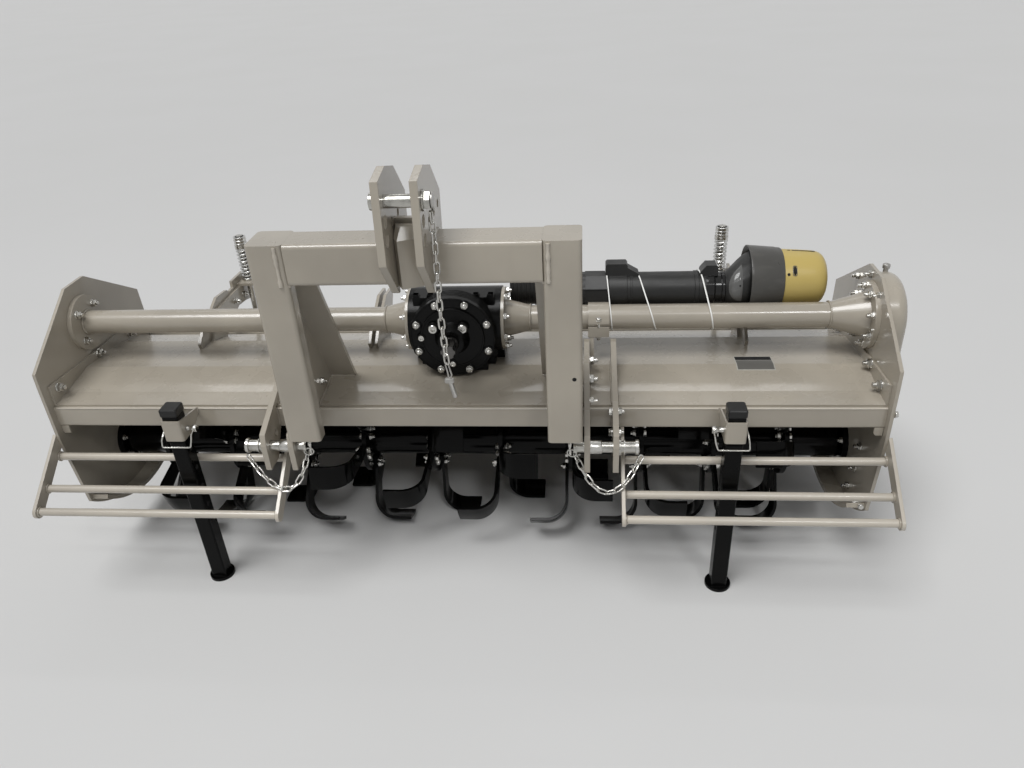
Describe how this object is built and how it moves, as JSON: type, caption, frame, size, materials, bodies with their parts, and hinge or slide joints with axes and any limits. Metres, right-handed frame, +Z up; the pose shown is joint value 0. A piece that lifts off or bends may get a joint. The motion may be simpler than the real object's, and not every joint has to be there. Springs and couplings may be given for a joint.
{
  "type": "rotavator",
  "caption": "Rotary tiller for a tractor's three-point linkage: headstock, gearbox, hood, bladed rotor, tailboard and parking stands.",
  "frame": {"origin": "on the floor under the middle of the whole machine", "axes": "+X along the machine to its gear case, +Y from the headstock to the tailboard, +Z up"},
  "size_m": [2.044, 0.82, 1.073],
  "materials": {
    "grey_paint": "satin",
    "black_paint": "gloss",
    "zinc": "zinc plated",
    "bright_steel": "machined",
    "spring_steel": "zinc plated",
    "black_plastic": "matte",
    "gold_plastic": "gloss"
  },
  "bodies": {
    "frame": {"hood_deck": "grey_paint", "hood_front_beam": "grey_paint", "side_plate_left": "grey_paint", "side_plate_right": "grey_paint", "cross_tube_left": "grey_paint", "cross_tube_right": "grey_paint", "gearbox_housing": "black_paint", "gearbox_front_cover": "black_paint", "gear_case": "grey_paint", "headstock_leg_left": "grey_paint", "headstock_leg_right": "grey_paint", "headstock_top_beam": "grey_paint", "headstock_gusset_left": "grey_paint", "headstock_gusset_right": "grey_paint", "top_link_plate_left": "grey_paint", "top_link_plate_right": "grey_paint", "top_link_spacer": "grey_paint", "top_link_pin": "zinc", "lower_link_plates_left": "grey_paint", "lower_link_plates_right": "grey_paint", "lower_link_pin_left": "zinc", "lower_link_pin_right": "zinc", "tube_clamps": "grey_paint", "mid_bracket": "grey_paint", "stand_socket_left": "grey_paint", "stand_socket_right": "grey_paint", "guard_left": "grey_paint", "guard_right": "grey_paint", "rotor_bearings": "black_paint", "tailboard_hinge_pin": "zinc", "strut_bracket_left": "grey_paint", "strut_bracket_right": "grey_paint", "drive_shaft_guard": "black_plastic", "drive_shaft_bell": "black_plastic", "drive_shaft_cap": "gold_plastic", "top_link_chain": "zinc", "lower_link_chains": "zinc"},
    "rotor": {"rotor": "black_paint"},
    "input_shaft": {"input_shaft": "bright_steel"},
    "tailboard": {"tailboard": "grey_paint"},
    "strut_left": {"strut_left": "zinc", "strut_spring_left": "spring_steel"},
    "strut_right": {"strut_right": "zinc", "strut_spring_right": "spring_steel"},
    "stand_left": {"stand_left": "black_paint"},
    "stand_right": {"stand_right": "black_paint"}
  },
  "joints": [
    {"name": "rotor_turn", "type": "hinge", "parent": "frame", "child": "rotor", "pos_m": [-0.021, 0.03, 0.23], "axis": [1, 0, 0], "continuous": true},
    {"name": "input_turn", "type": "hinge", "parent": "frame", "child": "input_shaft", "pos_m": [-0.021, -0.13, 0.601], "axis": [0, 1, 0], "continuous": true},
    {"name": "tailboard_lift", "type": "hinge", "parent": "frame", "child": "tailboard", "pos_m": [-0.021, 0.276, 0.436], "axis": [1, 0, 0], "range_deg": [0, 40]},
    {"name": "strut_left_tilt", "type": "hinge", "parent": "tailboard", "child": "strut_left", "pos_m": [-0.713, 0.384, 0.318], "axis": [1, 0, 0], "range_deg": [-20.5, 0]},
    {"name": "strut_right_tilt", "type": "hinge", "parent": "tailboard", "child": "strut_right", "pos_m": [0.671, 0.384, 0.318], "axis": [1, 0, 0], "range_deg": [-20.5, 0]},
    {"name": "stand_left_slide", "type": "slide", "parent": "frame", "child": "stand_left", "axis": [0, 0, 1], "range_m": [0, 0.28]},
    {"name": "stand_right_slide", "type": "slide", "parent": "frame", "child": "stand_right", "axis": [0, 0, 1], "range_m": [0, 0.28]}
  ],
  "couplings": [
    {"joint": "input_turn", "follows": "rotor_turn", "ratio": 2.45},
    {"joint": "strut_left_tilt", "follows": "tailboard_lift", "ratio": -0.506},
    {"joint": "strut_right_tilt", "follows": "tailboard_lift", "ratio": -0.506}
  ]
}
